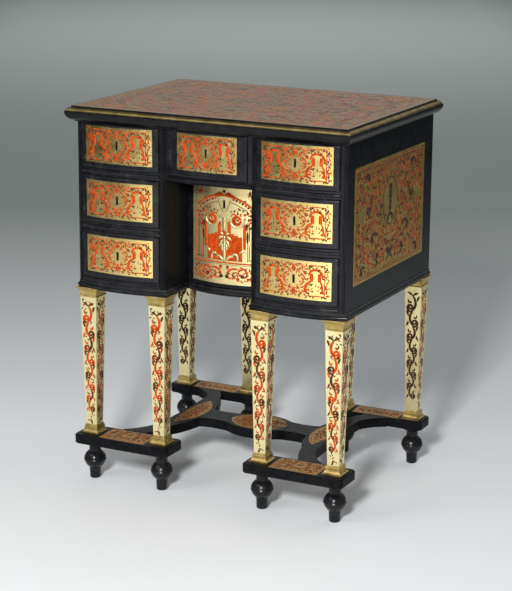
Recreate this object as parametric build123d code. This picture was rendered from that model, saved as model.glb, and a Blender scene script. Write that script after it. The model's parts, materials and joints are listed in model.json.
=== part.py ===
from build123d import *
import os
from math import sqrt

# A bureau mazarin: a small kneehole desk whose two pedestals of three bowed drawers flank
# one central drawer and a recessed, bowed cupboard door. It stands on eight tapered square
# legs, which are joined in fours by bars and curved stretchers and end in turned feet.
#
# Millimetres. +X is to the sitter's right, +Y to the back, +Z up. The origin lies on the
# floor, under the middle of the top.

os.makedirs("parts", exist_ok=True)

# ------------------------------------------------------------------ driving dimensions

# Over everything
WIDTH = 620
DEPTH = 462
HEIGHT = 780

# Top
TOP_THICK = 31
TOP_EDGE = 10          # the moulded edge stands this far out past the flat of the top
TOP_RIM = 3            # black rim between the top's marquetry and its brass band
TOP_LIP = 3            # the rim also stands this far above the band
BRASS_Z = 10           # from the flat of the top down to the band's seat

# Carcase
CASE_HALF = 294        # half the width over the pedestals
CASE_FRONT = -206      # the pedestals' front corners
CASE_BACK = 218
CASE_Z = 411           # underside of the carcase
KNEE_HALF = 94         # half the width of the kneehole
BOARD = 12
BASE_THICK = 14        # moulded bottom boards
BASE_LIP = 4           # their lip past the carcase
BASE_STEPS = ((0, 1.6, 3), (1.6, 8.6, BASE_LIP), (8.6, BASE_THICK, 1))  # fillet, bead and fascia
BASE_BEAD_ROUND = 3.3
RAIL_DEEP = 14
BEAD_R = 3.5           # half-round bead along the rails
STILE_BEAD_R = 2.2     # and along the front edges of the sides
STILE_BEAD_IN = 3.8    # its middle, from the side's outer face
SHELF_Z = 645          # underside of the dustboard between cupboard and central drawer

# Bowed fronts: how far the face swells out in its middle
PEDESTAL_RISE = 16
CENTRE_RISE = 8
DOOR_RISE = 15
DOOR_PANEL_HALF = 77
DOOR_CROWN = -140      # the door's foremost line, well back inside the kneehole

# Drawers: lowest and highest edge of each opening
ROWS = {"bottom": (436, 533), "middle": (548, 645), "top": (659, 748.5)}
GAP = 0.5              # round a drawer front
SLIP = 0.3             # between a drawer box and what it runs on
FRONT_PROUD = 3        # a drawer front stands this far out past its rails
FRONT_THICK = 16
FRONT_ROUND = 4
PLATE = 1.2            # thickness of a marquetry plate
PANEL_HALF = 75        # half the width of a pedestal drawer's marquetry
CENTRE_PANEL_HALF = 65
PANEL_LOW = 12.5       # from an opening's lower edge to the marquetry
CENTRE_PANEL_LOW = 15
PANEL_HIGH = 9.5       # from its upper edge
PANEL_HIGH_TOP = 4.6   # the same under the top, where the moulded edge hangs over
SIDE_THICK = 8
BOX_HIGH = 72
BOX_BACK = 188
TAIL_UP = (14, 36, 58)  # the dovetails' middles above a box side's lower edge
TAIL_ROOT = 5          # half height of a dovetail where it leaves the side
TAIL_TIP = 7           # and at its end
TAIL_DEEP = 9          # how far the front ones reach into the drawer front
BOTTOM_UP = 4          # a drawer's bottom board stands this far above its sides' edge
BOTTOM_THICK = 6
RUNNER_WIDE = 18

# Door
DOOR_HALF = 84.5
DOOR_OPENING = 85.5
DOOR_THICK = 15
DOOR_EDGE_ROUND = 3    # its hinge edge, so that it clears the jamb as it turns
JAMB_BACK = 2          # the jambs stand this far back from the door's face
STOP_WIDE = 14         # strip that the door shuts on
STOP_THICK = 8
DOOR_Z = (427, 643)
DOOR_PANEL_Z = (434.5, 631)
PIVOT_X = -78.5
PIVOT_Y = -118
PIVOT_R = 2.4
FIT = 0.05             # play round the pivots, tenons and pegs
PIVOT_DEEP = 6         # holes for the pivots
STRAP_THICK = 2

# Locks and keyholes
KEY_HEAD_R = 1.95
KEY_HEAD_UP = 6.5      # middle of the round head above the middle of the keyhole
KEY_SLOT_HALF = 1.5
KEY_SLOT_DOWN = 8.5
KEY_UP = 1             # middle of a drawer's keyhole above the middle of its marquetry
LOCK_HALF = 22
LOCK_THICK = 10
LOCK_LET_IN = 2        # how deep a lock sits in the back of its front
LOCK_DOWN = 16         # a lock's lower edge under the middle of the keyhole
LOCK_TOP = 3           # and its upper edge under that of the front
DOOR_KEY_Z = 596

# Side panels let into the pedestals' outer sides
SIDE_PANEL_Y = (-172, 175)
SIDE_PANEL_Z = (470, 698)

# Legs, feet and stretchers
LEG_INSET_X = 20.5     # a leg's centre from the carcase's side
LEG_INSET_Y = 14.5     # and from its front or back
LEG_FOOT = 24          # square shaft at its foot
LEG_HEAD = 38          # and at its head
TENON_HALF = 6.5       # square tenons at both ends of a leg
TENON = 11
PEG_R = 6              # round peg on a foot
PEG = 8
CAPITAL_Z = 21
CAPITAL_HALF = 24.5
SOCKET_Z = 18
SOCKET_HALF = 20
BAR_Z = 80             # underside of the bars and stretchers
BAR_THICK = 20
BAR_HALF = 108.5
BAR_DEEP = {"front": 73, "back": 55}
BAR_ROUND = 10
BAR_CHAMFER = 2
BAR_PLATE_HALF = 52    # half the length of the marquetry let into a bar
BAR_PLATE_MARGIN = 5.5
CROSS_Y = 22           # middle of the cross stretcher, and of the side stretchers' swelling
CROSS_LEAF = (64, 47)  # half the length and width of its pointed oval
SIDE_LEAF_HALF = 81    # half the length of a side stretcher's pointed oval
NECK_REACH = 108       # from the middle of a side stretcher to its narrow necks
FLARE_EDGE = 3         # straight edge of its flared ends, where they meet the bars

# ------------------------------------------------------------------ worked-out places

TOP_Z = HEIGHT - TOP_THICK
BASE_TOP = CASE_Z + BASE_THICK
PEDESTAL_X = (CASE_HALF + KNEE_HALF) / 2
PEDESTAL_HALF = (CASE_HALF - KNEE_HALF) / 2
OPENING_HALF = PEDESTAL_HALF - BOARD
SHELF_TOP = SHELF_Z + BOARD
BACK_FACE = CASE_BACK - BOARD
LEG_X = (KNEE_HALF + LEG_INSET_X, CASE_HALF - LEG_INSET_X)
LEG_Y = (CASE_FRONT + LEG_INSET_Y, CASE_BACK - LEG_INSET_Y)
LEG_DX = [x - PEDESTAL_X for x in LEG_X]
BAR_TOP = BAR_Z + BAR_THICK
SIDES = {"left": -1, "right": 1}
ENDS = {"front": LEG_Y[0], "back": LEG_Y[1]}
BAR_INNER = (LEG_Y[0] + BAR_DEEP["front"] / 2, LEG_Y[1] - BAR_DEEP["back"] / 2)
FRONT_INNER = FRONT_PROUD - FRONT_THICK  # a drawer front's inner face against the rails' face

nodes = {}


def keep(name, *shapes):
    """File shapes under the name of the sub-part that they belong to."""
    nodes.setdefault(name, []).extend(shapes)


# ------------------------------------------------------------------ shared forms


def block(x, y, z):
    """A box from three pairs of limits, each given in either order."""
    sizes = [abs(pair[1] - pair[0]) for pair in (x, y, z)]
    centre = [(pair[0] + pair[1]) / 2 for pair in (x, y, z)]
    return Pos(*centre) * Box(*sizes)


def rod(x, y, z, radius):
    """An upright round rod between two heights."""
    return Pos(x, y, (z[0] + z[1]) / 2) * Cylinder(radius, z[1] - z[0])


def mitred(section, half_x, half_y):
    """Run one section along all four sides: two crossed prisms, kept where they meet."""
    along_y = extrude(Plane.XZ * section(half_x), half_y + 1, both=True)
    along_x = extrude(Plane.YZ * section(half_y), half_x + 1, both=True)
    return along_y & along_x


def outline(*edges):
    """A face inside a closed run of lines and arcs."""
    return make_face(Curve() + list(edges))


class Bow:
    """An upright face that swells to the front, as part of a cylinder."""

    def __init__(self, x, crown_y, half_chord, rise):
        self.x = x
        self.crown_y = crown_y
        self.radius = (half_chord**2 + rise**2) / (2 * rise)
        self.axis_y = crown_y + self.radius

    def y_at(self, x, proud=0):
        return self.axis_y - sqrt((self.radius + proud) ** 2 - (x - self.x) ** 2)

    def solid(self, z, proud=0):
        """All that lies behind the face."""
        return rod(self.x, self.axis_y, z, self.radius + proud)

    def board(self, x, back_y, z, proud=0):
        """A board with a bowed front and a straight back."""
        front_y = self.crown_y - proud - 1
        return block(x, (front_y, back_y), z) & self.solid(z, proud)

    def shell(self, x, z, back, proud=0):
        """A board bent to the bow, as thick behind the face as 'back' says."""
        return self.board(x, self.axis_y, z, proud) - self.solid(z, -back)

    def bead(self, x, z, radius):
        """A half-round bead that runs along the face at height z."""
        ring = Pos(self.x, self.axis_y, z) * Torus(self.radius, radius)
        return ring & block(x, (self.crown_y - 2 * radius, self.axis_y), (z - radius, z + radius))


CENTRE_BOW = Bow(0, CASE_FRONT - CENTRE_RISE, KNEE_HALF, CENTRE_RISE)
DOOR_BOW = Bow(0, DOOR_CROWN, DOOR_PANEL_HALF, DOOR_RISE)


def pedestal_bow(side):
    return Bow(side * PEDESTAL_X, CASE_FRONT - PEDESTAL_RISE, PEDESTAL_HALF, PEDESTAL_RISE)


def keyhole(x, z, y):
    """A round head over a narrow slot, cut from front to back."""
    head_z = z + KEY_HEAD_UP
    head = Pos(x, (y[0] + y[1]) / 2, head_z) * Rot(90, 0, 0) * Cylinder(KEY_HEAD_R, y[1] - y[0])
    return head + block((x - KEY_SLOT_HALF, x + KEY_SLOT_HALF), y, (z - KEY_SLOT_DOWN, head_z))


def lock_case(x, inner_y, key_z, top_z):
    """A closed lock, let into the back of a front whose inner face lies at inner_y."""
    y = (inner_y - LOCK_LET_IN, inner_y - LOCK_LET_IN + LOCK_THICK)
    return block((x - LOCK_HALF, x + LOCK_HALF), y, (key_z - LOCK_DOWN, top_z - LOCK_TOP))


# ------------------------------------------------------------------ top


def edge_section(half):
    """The top's core in section: small cove and large ovolo, up to the brass band's seat."""
    neck = half - 15
    seat = HEIGHT - BRASS_Z
    right = [
        Line((0, TOP_Z), (neck, TOP_Z)),
        ThreePointArc((neck, TOP_Z), (neck + 0.7, TOP_Z + 1.7), (neck + 2.4, TOP_Z + 2.4)),
        TangentArc((half, seat - 1.5), (neck + 2.4, TOP_Z + 2.4), tangent=(0, -1)),
        Line((half, seat - 1.5), (half, seat - 0.5)),
        Line((half, seat - 0.5), (half - 0.8, seat)),
        Line((half - 0.8, seat), (0, seat)),
    ]
    left = [mirror(edge, Plane.YZ) for edge in right]
    return outline(*right, *left)


def band_section(half):
    """The brass band in section, solid right across: its middle is cut out afterwards."""
    low = HEIGHT - BRASS_Z
    high = HEIGHT - TOP_LIP
    right = [
        Line((0, low), (half - 1.5, low)),
        Line((half - 1.5, low), (half - 1.5, low + 1)),
        Line((half - 1.5, low + 1), (half - 2.3, low + 1.4)),
        TangentArc((half - TOP_EDGE, high), (half - 2.3, low + 1.4), tangent=(1, 0)),
        Line((half - TOP_EDGE, high), (0, high)),
    ]
    left = [mirror(edge, Plane.YZ) for edge in right]
    return outline(*right, *left)


def make_top():
    half_x = WIDTH / 2
    half_y = DEPTH / 2
    flat_x = half_x - TOP_EDGE
    flat_y = half_y - TOP_EDGE
    upper = block((-flat_x, flat_x), (-flat_y, flat_y), (HEIGHT - BRASS_Z, HEIGHT))
    plate = block(
        (-flat_x + TOP_RIM, flat_x - TOP_RIM),
        (-flat_y + TOP_RIM, flat_y - TOP_RIM),
        (HEIGHT - PLATE, HEIGHT),
    )
    keep("top_board", mitred(edge_section, half_x, half_y) + upper - plate)
    keep("top_brass_band", mitred(band_section, half_x, half_y) - upper)
    keep("top_marquetry", plate)


# ------------------------------------------------------------------ carcase


def make_side(side, x, bead_x, back_y):
    """An upright pedestal side, its front edge cut to the bow and beaded."""
    bow = pedestal_bow(side)
    z = (BASE_TOP, TOP_Z)
    board = bow.board((side * x[0], side * x[1]), back_y, z)
    return board + rod(side * bead_x, bow.y_at(side * bead_x), z, STILE_BEAD_R)


def make_sides():
    inner_x = (KNEE_HALF, KNEE_HALF + BOARD)
    outer_x = (CASE_HALF - BOARD, CASE_HALF)
    for name, side in SIDES.items():
        keep(name + "_inner_side", make_side(side, inner_x, KNEE_HALF + STILE_BEAD_IN, BACK_FACE))
        outer = make_side(side, outer_x, CASE_HALF - STILE_BEAD_IN, CASE_BACK)
        face = (side * (CASE_HALF - PLATE), side * CASE_HALF)
        panel = block(face, SIDE_PANEL_Y, SIDE_PANEL_Z)
        keep(name + "_outer_side", outer - panel)
        keep(name + "_side_marquetry", panel)


def make_back():
    inside = CASE_HALF - BOARD
    keep("back_board", block((-inside, inside), (BACK_FACE, CASE_BACK), (BASE_TOP, TOP_Z)))


def mortise(x, y, z):
    """A square hole for a leg's tenon, with a little play."""
    half = TENON_HALF + FIT
    return block((x - half, x + half), (y - half, y + half), z)


def pivot_hole(z):
    return rod(PIVOT_X, PIVOT_Y, z, PIVOT_R + FIT)


def base_board(bow, x_reach, is_rim):
    """A bottom board in three steps, with the bead's rims rounded over.

    x_reach gives the board's sides for a lip, and is_rim picks the edges to round.
    """
    steps = []
    for low, high, lip in BASE_STEPS:
        steps.append(bow.board(x_reach(lip), CASE_BACK, (CASE_Z + low, CASE_Z + high), lip))
    fillet_step, bead, fascia = steps
    flats = bead.faces().sort_by(Axis.Z)
    rims = ShapeList(flats[0].edges() + flats[-1].edges()).filter_by(is_rim)
    return fillet(rims, BASE_BEAD_ROUND) + fillet_step + fascia


def make_bottoms():
    """Three moulded bottom boards: one under each pedestal, one under the cupboard."""
    knee = (-KNEE_HALF, KNEE_HALF)
    middle = base_board(DOOR_BOW, lambda lip: knee, lambda edge: edge.geom_type == GeomType.CIRCLE)
    cut = DOOR_BOW.board(knee, CASE_BACK, (CASE_Z, BASE_TOP), BASE_LIP)
    for side in SIDES.values():
        board = base_board(
            pedestal_bow(side),
            lambda lip: (side * (KNEE_HALF - lip), side * (CASE_HALF + lip)),
            lambda edge: edge.center().Y < CASE_BACK - 1,
        )
        holes = [mortise(side * x, y, (CASE_Z - 1, CASE_Z + TENON)) for x in LEG_X for y in LEG_Y]
        keep("bottom_boards", board - cut - holes)
    keep("bottom_boards", middle - pivot_hole((BASE_TOP - PIVOT_DEEP, BASE_TOP)))


def make_shelf():
    """The dustboard over the cupboard: its bowed front edge is the rail under the drawer."""
    z = (SHELF_Z, SHELF_TOP)
    shelf = CENTRE_BOW.board((-KNEE_HALF, KNEE_HALF), BACK_FACE, z)
    bead = CENTRE_BOW.bead((-KNEE_HALF, KNEE_HALF), (SHELF_Z + SHELF_TOP) / 2, BEAD_R)
    keep("cupboard_shelf", shelf + bead - pivot_hole((SHELF_Z, SHELF_Z + PIVOT_DEEP)))


def rail_spans():
    """The rail below each row of drawers, as heights."""
    bottoms = [low for low, high in ROWS.values()]
    tops = [BASE_TOP] + [high for low, high in ROWS.values()][:-1]
    return list(zip(tops, bottoms))


def make_frames():
    for name, side in SIDES.items():
        bow = pedestal_bow(side)
        x = (side * (KNEE_HALF + BOARD), side * (CASE_HALF - BOARD))
        for z in rail_spans():
            rail = bow.shell(x, z, RAIL_DEEP)
            keep(name + "_drawer_rails", rail + bow.bead(x, (z[0] + z[1]) / 2, BEAD_R))
            for wall, inward in ((x[0], side), (x[1], -side)):
                strip_x = (wall, wall + inward * RUNNER_WIDE)
                strip = block(strip_x, (CASE_FRONT - 2, BACK_FACE), z)
                keep("drawer_runners", strip & bow.solid(z, -RAIL_DEEP))
    for side in SIDES.values():
        x = (side * (DOOR_OPENING + 1), side * KNEE_HALF)
        stile = CENTRE_BOW.shell(x, (SHELF_TOP, TOP_Z), RAIL_DEEP)
        keep("centre_drawer_stiles", stile)


def make_door_jambs():
    """A jamb each side of the door, and a strip behind the right one that the door shuts on."""
    z = (BASE_TOP, SHELF_Z)
    spans = [(side * DOOR_OPENING, side * KNEE_HALF) for side in SIDES.values()]
    left_jamb, right_jamb = [DOOR_BOW.shell(x, z, DOOR_THICK, -JAMB_BACK) for x in spans]
    stop_y = DOOR_BOW.y_at(DOOR_OPENING, -DOOR_THICK) + 1
    stop = block((KNEE_HALF - STOP_WIDE, KNEE_HALF), (stop_y, stop_y + STOP_THICK), z)
    keep("door_jambs", left_jamb, right_jamb, stop - right_jamb)


# ------------------------------------------------------------------ drawers


def rounded_front(bow, x, z):
    """A bowed drawer front whose four outer edges are rounded over."""
    front = bow.shell(x, z, FRONT_THICK - FRONT_PROUD, FRONT_PROUD)
    face = front.faces().filter_by(GeomType.CYLINDER).sort_by(Axis.Y)[0]
    return fillet(face.edges(), FRONT_ROUND)


def dovetails(x, low, root_y, tip_y):
    """Three tails across the thickness of a box side, wider at their tips than at their roots."""
    tails = []
    for up in TAIL_UP:
        z = low + up
        corners = [
            (root_y, z - TAIL_ROOT),
            (tip_y, z - TAIL_TIP),
            (tip_y, z + TAIL_TIP),
            (root_y, z + TAIL_ROOT),
        ]
        face = Plane.YZ * Polygon(*corners, align=None)
        tails.append(Pos(x[0], 0, 0) * extrude(face, SIDE_THICK, dir=(1, 0, 0)))
    return tails


def drawer_box(x, z, bow):
    """Four oak boards behind a front, and the tails that the front is cut out for.

    The sides are dovetailed right through the back and half way into the front.
    """
    left, right = x
    low = z[0] - GAP + SLIP
    high = low + BOX_HIGH
    back_y = (BOX_BACK - SIDE_THICK, BOX_BACK)
    face_y = bow.y_at(right, FRONT_INNER)
    behind = bow.solid((low, high), FRONT_INNER)
    walls = []
    front_tails = []
    back_tails = []
    for wall_x in ((left, left + SIDE_THICK), (right - SIDE_THICK, right)):
        into_front = dovetails(wall_x, low, face_y + 1, face_y - TAIL_DEEP)
        into_back = dovetails(wall_x, low, back_y[0] - 1, back_y[1])
        wall = block(wall_x, (bow.crown_y, back_y[0]), (low, high)) & behind
        walls.append(wall + into_front + into_back)
        front_tails += into_front
        back_tails += into_back
    back = block(x, back_y, (low, high)) - back_tails
    floor_z = (low + BOTTOM_UP, low + BOTTOM_UP + BOTTOM_THICK)
    floor_x = (left + SIDE_THICK, right - SIDE_THICK)
    floor = block(floor_x, (bow.crown_y, back_y[0]), floor_z) & behind
    return [*walls, back, floor], front_tails


def make_drawer(name, bow, half, panel_half, opening_z, margins):
    """A drawer for an opening, with its marquetry set in by the lower and upper margins."""
    x = (bow.x - half + GAP, bow.x + half - GAP)
    z = (opening_z[0] + GAP, opening_z[1] - GAP)
    panel_x = (bow.x - panel_half, bow.x + panel_half)
    panel_z = (opening_z[0] + margins[0], opening_z[1] - margins[1])
    key_z = (panel_z[0] + panel_z[1]) / 2 + KEY_UP
    plate = bow.shell(panel_x, panel_z, PLATE - FRONT_PROUD, FRONT_PROUD)
    recess = bow.shell(panel_x, panel_z, PLATE - FRONT_PROUD, FRONT_PROUD + 1)
    inner_y = bow.y_at(bow.x, FRONT_INNER)
    lock = lock_case(bow.x, inner_y, key_z, z[1])
    hole = keyhole(bow.x, key_z, (bow.crown_y - 10, inner_y + LOCK_LET_IN))
    boards, tails = drawer_box(x, z, bow)
    keep(name + "_front", rounded_front(bow, x, z) - recess - lock - hole - tails)
    keep(name + "_box", *boards)
    keep(name + "_marquetry_and_lock", plate - hole, lock - hole)


def make_drawers():
    for name, side in SIDES.items():
        for row, z in ROWS.items():
            margins = (PANEL_LOW, PANEL_HIGH_TOP if row == "top" else PANEL_HIGH)
            label = name + "_" + row + "_drawer"
            make_drawer(label, pedestal_bow(side), OPENING_HALF, PANEL_HALF, z, margins)
    z = (SHELF_TOP, ROWS["top"][1])
    margins = (CENTRE_PANEL_LOW, PANEL_HIGH_TOP)
    make_drawer("centre_drawer", CENTRE_BOW, DOOR_OPENING + 1, CENTRE_PANEL_HALF, z, margins)


# ------------------------------------------------------------------ door


def make_door():
    leaf = DOOR_BOW.shell((-DOOR_HALF, DOOR_HALF), DOOR_Z, DOOR_THICK)
    corner = leaf.edges().filter_by(Axis.Z).sort_by(Axis.Y)
    hinge_edge = corner.filter_by(lambda edge: edge.center().X < 0)[0]
    leaf = fillet(hinge_edge, DOOR_EDGE_ROUND)
    panel_x = (-DOOR_PANEL_HALF, DOOR_PANEL_HALF)
    plate = DOOR_BOW.shell(panel_x, DOOR_PANEL_Z, PLATE)
    leaf -= DOOR_BOW.shell(panel_x, DOOR_PANEL_Z, PLATE, 1)
    inner_y = DOOR_BOW.y_at(0, -DOOR_THICK)
    lock = lock_case(0, inner_y, DOOR_KEY_Z, DOOR_Z[1])
    hole = keyhole(0, DOOR_KEY_Z, (DOOR_CROWN - 10, inner_y + LOCK_LET_IN))
    pivots = []
    strap_x = (PIVOT_X - 3, PIVOT_X + 20)
    strap_y = (PIVOT_Y - 2.5, PIVOT_Y + 2.5)
    for edge_z, out in ((DOOR_Z[0], -1), (DOOR_Z[1], 1)):
        strap = block(strap_x, strap_y, (edge_z, edge_z - STRAP_THICK * out))
        ends = sorted((edge_z + 7 * out, edge_z - 8 * out))
        pivots.append(strap + rod(PIVOT_X, PIVOT_Y, ends, PIVOT_R))
    keep("door_leaf", leaf - lock - hole - pivots)
    keep("door_marquetry_and_lock", plate - hole, lock - hole)
    keep("door_pivots", *pivots)


# ------------------------------------------------------------------ legs and feet


def capital_section(half):
    """Thin square cap, tall hollow and small bead, in section."""
    top = CASE_Z
    foot = top - CAPITAL_Z
    neck = half - 5.5
    right = [
        Line((0, foot), (neck, foot)),
        ThreePointArc((neck, foot), (neck + 1, foot + 1.2), (neck, foot + 2.4)),
        ThreePointArc((neck, foot + 2.4), (neck + 0.9, top - 9), (half - 0.8, top - 2.5)),
        Line((half - 0.8, top - 2.5), (half, top - 2.5)),
        Line((half, top - 2.5), (half, top)),
        Line((half, top), (0, top)),
    ]
    left = [mirror(edge, Plane.YZ) for edge in right]
    return outline(*right, *left)


def socket_section(half):
    """Thin edge, hollow, rounded shoulder and collar that closes in on the shaft, in section."""
    top = BAR_TOP + SOCKET_Z
    neck = LEG_FOOT / 2 + 1.2
    edge = (half, BAR_TOP + 1.8)
    shoulder = (neck + 2.2, BAR_TOP + 12)
    collar = (neck + 0.6, BAR_TOP + 14.6)
    right = [
        Line((0, BAR_TOP), (half, BAR_TOP)),
        Line((half, BAR_TOP), edge),
        ThreePointArc(edge, (half - 3.5, BAR_TOP + 5.4), shoulder),
        ThreePointArc(shoulder, (neck + 1.9, BAR_TOP + 13.8), collar),
        Line(collar, (neck, top)),
        Line((neck, top), (0, top)),
    ]
    left = [mirror(edge, Plane.YZ) for edge in right]
    return outline(*right, *left)


def make_legs():
    shaft = loft([
        Plane.XY.offset(BAR_TOP) * Rectangle(LEG_FOOT, LEG_FOOT),
        Plane.XY.offset(CASE_Z) * Rectangle(LEG_HEAD, LEG_HEAD),
    ])
    width = (-TENON_HALF, TENON_HALF)
    tenons = block(width, width, (BAR_TOP - TENON, CASE_Z + TENON))
    capital = mitred(capital_section, CAPITAL_HALF, CAPITAL_HALF) - shaft
    socket = mitred(socket_section, SOCKET_HALF, SOCKET_HALF) - shaft
    for side_name, side in SIDES.items():
        for place, x in zip(("inner", "outer"), LEG_X):
            for end, y in ENDS.items():
                spot = Pos(side * x, y, 0)
                keep(f"{side_name}_{end}_{place}_leg", spot * (shaft + tenons))
                keep("leg_capitals", spot * capital)
                keep("leg_sockets", spot * socket)


def foot_profile():
    """Half the outline of a turned foot: toe, grooved ball, neck and flared collar."""
    return [
        Line((0, 0), (9.5, 0)),
        Line((9.5, 0), (11, 2)),
        Line((11, 2), (12, 23)),
        ThreePointArc((12, 23), (18.5, 29.5), (23.2, 41)),
        Line((23.2, 41), (21.8, 43.6)),
        Line((21.8, 43.6), (22.6, 45)),
        ThreePointArc((22.6, 45), (18.8, 53), (12.2, 59)),
        Line((12.2, 59), (12.2, 67)),
        ThreePointArc((12.2, 67), (14.5, 72.5), (21.5, 76.5)),
        Line((21.5, 76.5), (22, BAR_Z)),
        Line((22, BAR_Z), (0, BAR_Z)),
        Line((0, BAR_Z), (0, 0)),
    ]


def make_feet():
    turned = revolve(Plane.XZ * outline(*foot_profile()), Axis.Z)
    peg = rod(0, 0, (BAR_Z, BAR_Z + PEG), PEG_R)
    for side in SIDES.values():
        for x in LEG_X:
            for y in LEG_Y:
                keep("turned_feet", Pos(side * x, y, 0) * (turned + peg))


# ------------------------------------------------------------------ bars and stretchers


def arc_leaf(tip_a, tip_b, side_a, side_b):
    """A pointed oval: two arcs from tip to tip."""
    return outline(ThreePointArc(tip_a, side_a, tip_b), ThreePointArc(tip_b, side_b, tip_a))


def slab(face, z):
    return Pos(0, 0, z[0]) * extrude(face, z[1] - z[0])


def make_bars():
    z = (BAR_Z, BAR_TOP)
    for side_name, side in SIDES.items():
        for end, y in ENDS.items():
            x = side * PEDESTAL_X
            half_y = BAR_DEEP[end] / 2
            plate_y = half_y - BAR_PLATE_MARGIN
            bar = block((x - BAR_HALF, x + BAR_HALF), (y - half_y, y + half_y), z)
            bar = fillet(bar.edges().filter_by(Axis.Z), BAR_ROUND)
            rims = bar.faces().sort_by(Axis.Z)
            bar = chamfer(ShapeList(rims[0].edges() + rims[-1].edges()), BAR_CHAMFER)
            plate_x = (x - BAR_PLATE_HALF, x + BAR_PLATE_HALF)
            plate = block(plate_x, (y - plate_y, y + plate_y), (BAR_TOP - PLATE, BAR_TOP))
            bar -= plate
            for dx in LEG_DX:
                bar -= rod(x + dx, y, (BAR_Z - 1, BAR_Z + PEG), PEG_R + FIT)
                bar -= mortise(x + dx, y, (BAR_TOP - TENON, BAR_TOP + 1))
            keep(f"{side_name}_{end}_bar", bar)
            keep("stretcher_marquetry", plate)


def side_stretcher_plan():
    """The right-hand stretcher from bar to bar: flared ends, narrow necks, swollen middle."""
    inner_x, outer_x = 174, 226
    necks = (CROSS_Y - NECK_REACH, CROSS_Y + NECK_REACH)
    edges = [
        ThreePointArc((150, necks[0]), (123, CROSS_Y), (150, necks[1])),
        ThreePointArc((183, necks[0]), (179, CROSS_Y), (183, necks[1])),
    ]
    for end, bar_y, neck_y in zip((-1, 1), BAR_INNER, necks):
        flare_y = bar_y - end * FLARE_EDGE
        bend_y = (flare_y + neck_y) / 2
        edges += [
            ThreePointArc((150, neck_y), (159.5, bend_y), (inner_x, flare_y)),
            Line((inner_x, flare_y), (inner_x, bar_y)),
            Line((inner_x, bar_y), (outer_x, bar_y)),
            Line((outer_x, bar_y), (outer_x, flare_y)),
            ThreePointArc((outer_x, flare_y), (197, bend_y), (183, neck_y)),
        ]
    return outline(*edges)


def cross_stretcher_plan():
    """The cross stretcher: slim arms that open out at their ends, and an oval in the middle."""
    quarter = [
        ((0, 51), (26, 47.5), (50, 38)),
        ((50, 38), (63, 31), (80, 29)),
        ((80, 29), (118, 31), (150, 48)),
    ]
    edges = []
    for end in (-1, 1):
        for edge in (-1, 1):
            for points in quarter:
                edges.append(ThreePointArc(*[(end * x, CROSS_Y + edge * y) for x, y in points]))
        edges.append(Line((end * 150, CROSS_Y - 48), (end * 150, CROSS_Y + 48)))
    return outline(*edges)


def make_stretchers():
    z = (BAR_Z, BAR_TOP)
    plate_z = (BAR_TOP - PLATE, BAR_TOP)
    right = slab(side_stretcher_plan(), z)
    left = mirror(right, Plane.YZ)
    tips = ((160, CROSS_Y - SIDE_LEAF_HALF), (160, CROSS_Y + SIDE_LEAF_HALF))
    right_plate = slab(arc_leaf(*tips, (128, CROSS_Y), (174, CROSS_Y)), plate_z)
    left_plate = mirror(right_plate, Plane.YZ)
    cross = slab(cross_stretcher_plan(), z) - right - left
    long, wide = CROSS_LEAF
    tips = ((-long, CROSS_Y), (long, CROSS_Y))
    cross_plate = slab(arc_leaf(*tips, (0, CROSS_Y - wide), (0, CROSS_Y + wide)), plate_z)
    keep("right_side_stretcher", right - right_plate)
    keep("left_side_stretcher", left - left_plate)
    keep("cross_stretcher", cross - cross_plate)
    keep("stretcher_marquetry", right_plate, left_plate, cross_plate)


# ------------------------------------------------------------------ the whole desk

make_top()
make_sides()
make_back()
make_bottoms()
make_shelf()
make_frames()
make_door_jambs()
make_drawers()
make_door()
make_legs()
make_feet()
make_bars()
make_stretchers()

for node, shapes in nodes.items():
    solids = [solid for shape in shapes for solid in shape.solids()]
    export_step(Compound(solids), "parts/" + node + ".step")
print(len(nodes), "nodes,", sum(len(shapes) for shapes in nodes.values()), "pieces")
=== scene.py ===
# %% [markdown]
# # Dressing a bureau mazarin
# This desk stands on eight square legs and is covered in brass sheet inlaid with red
# tortoiseshell, framed in ebonised wood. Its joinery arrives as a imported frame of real
# solids. This lesson adds what the eye sees: polish, metal, and every scroll of the inlay
# as a thin piece of its own.
#
# The frame comes first, so that every later piece can be placed from it.

# %% Load the frame
import json
import bpy
from math import cos, pi, radians, sin
from mathutils import Matrix, Vector
from mathutils.kdtree import KDTree


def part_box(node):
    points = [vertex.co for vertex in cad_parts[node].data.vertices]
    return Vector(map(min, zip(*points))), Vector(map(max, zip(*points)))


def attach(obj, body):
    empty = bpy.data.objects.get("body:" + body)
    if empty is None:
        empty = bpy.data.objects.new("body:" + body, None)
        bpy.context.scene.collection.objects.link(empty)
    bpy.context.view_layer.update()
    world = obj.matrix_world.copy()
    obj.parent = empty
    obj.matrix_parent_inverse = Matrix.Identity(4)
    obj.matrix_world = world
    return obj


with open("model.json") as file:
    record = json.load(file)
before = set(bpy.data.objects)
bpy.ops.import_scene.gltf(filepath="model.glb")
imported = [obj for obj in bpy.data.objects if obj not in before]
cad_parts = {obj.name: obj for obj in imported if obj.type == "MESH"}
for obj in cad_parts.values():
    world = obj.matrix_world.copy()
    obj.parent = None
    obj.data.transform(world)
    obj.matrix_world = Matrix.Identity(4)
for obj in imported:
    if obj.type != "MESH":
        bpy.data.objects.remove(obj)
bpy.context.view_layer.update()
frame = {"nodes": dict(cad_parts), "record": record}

nodes = frame["nodes"]
MM = 0.001

# %% [markdown]
# ## Working by hand, in code
# An operator acts on whatever is selected, and the loader leaves all nodes selected. So each
# step starts by clearing the selection, and picks its own object.

# %% Selecting one object
def pick(*objects):
    """Select just these objects. The last one becomes the active one."""
    bpy.ops.object.select_all(action="DESELECT")
    for obj in objects:
        obj.select_set(True)
        bpy.context.view_layer.objects.active = obj


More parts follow.
